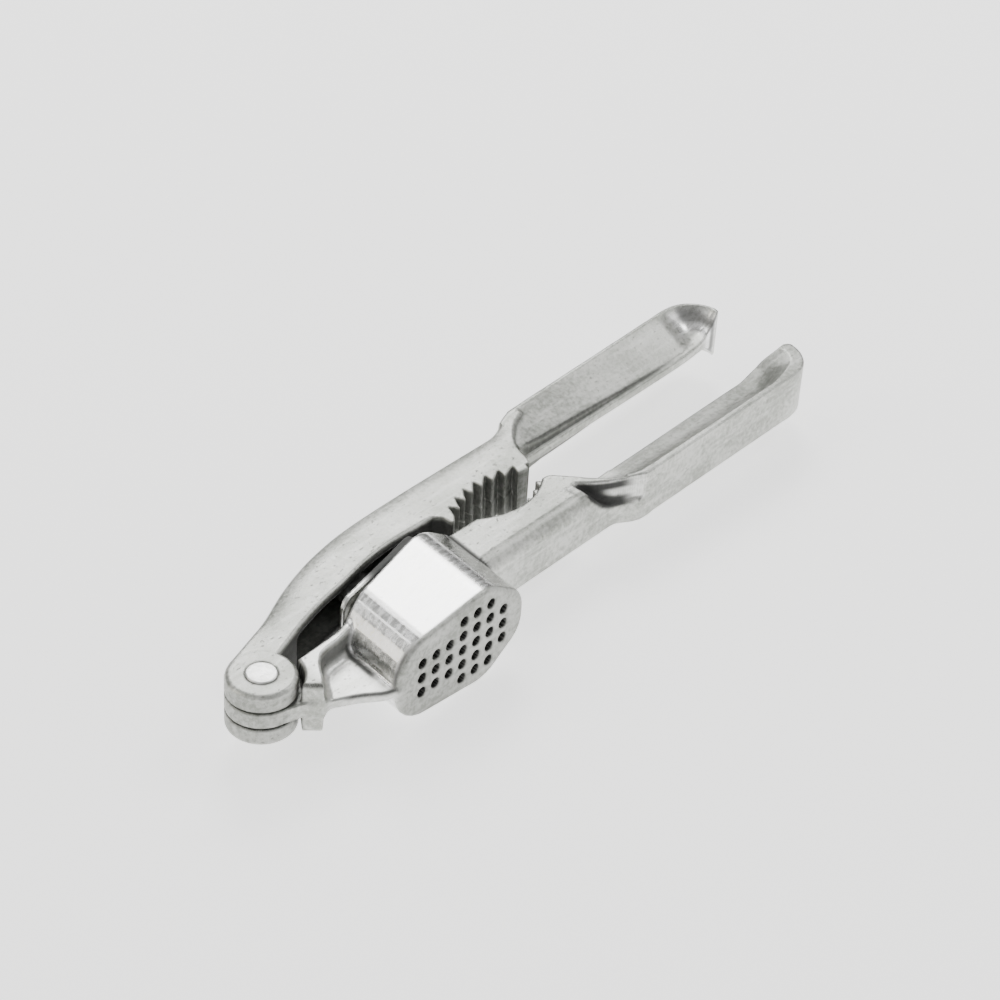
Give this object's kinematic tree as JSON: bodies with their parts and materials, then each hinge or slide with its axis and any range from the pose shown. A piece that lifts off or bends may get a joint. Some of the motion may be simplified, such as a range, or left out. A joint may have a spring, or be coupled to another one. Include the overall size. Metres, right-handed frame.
{
  "type": "garlic press",
  "caption": "Cast aluminium garlic press with a perforated basket, a swinging plunger and toothed nutcracker jaws between two riveted levers.",
  "frame": {"origin": "bottom centre of the whole press as it lies on its side, levers nearly closed", "axes": "+X from the hinge to the handle ends, +Y from the lower lever (basket) to the upper lever, +Z along the hinge rivet"},
  "size_m": [0.176, 0.0449, 0.0235],
  "materials": {
    "cast_aluminium": "die-cast, tumbled, satin with fine pits and scratches",
    "polished_aluminium": "cast and polished",
    "rivet_aluminium": "smooth drawn wire, headed"
  },
  "bodies": {
    "lower_lever": {"lower_lever": "cast_aluminium", "hinge_rivet": "rivet_aluminium"},
    "upper_lever": {"upper_lever": "cast_aluminium", "plunger_pin": "rivet_aluminium"},
    "plunger": {"plunger": "polished_aluminium"}
  },
  "joints": [
    {"name": "lever_pivot", "type": "hinge", "parent": "lower_lever", "child": "upper_lever", "pos_m": [-0.08063, -0.00395, 0.01174], "axis": [0, 0, 1], "range_deg": [-1.2, 160]},
    {"name": "plunger_pivot", "type": "hinge", "parent": "upper_lever", "child": "plunger", "pos_m": [-0.04213, 0.00985, 0.01174], "axis": [0, 0, 1], "range_deg": [-12, 1]}
  ],
  "couplings": [
    {"joint": "plunger_pivot", "follows": "lever_pivot", "ratio": -0.07}
  ]
}
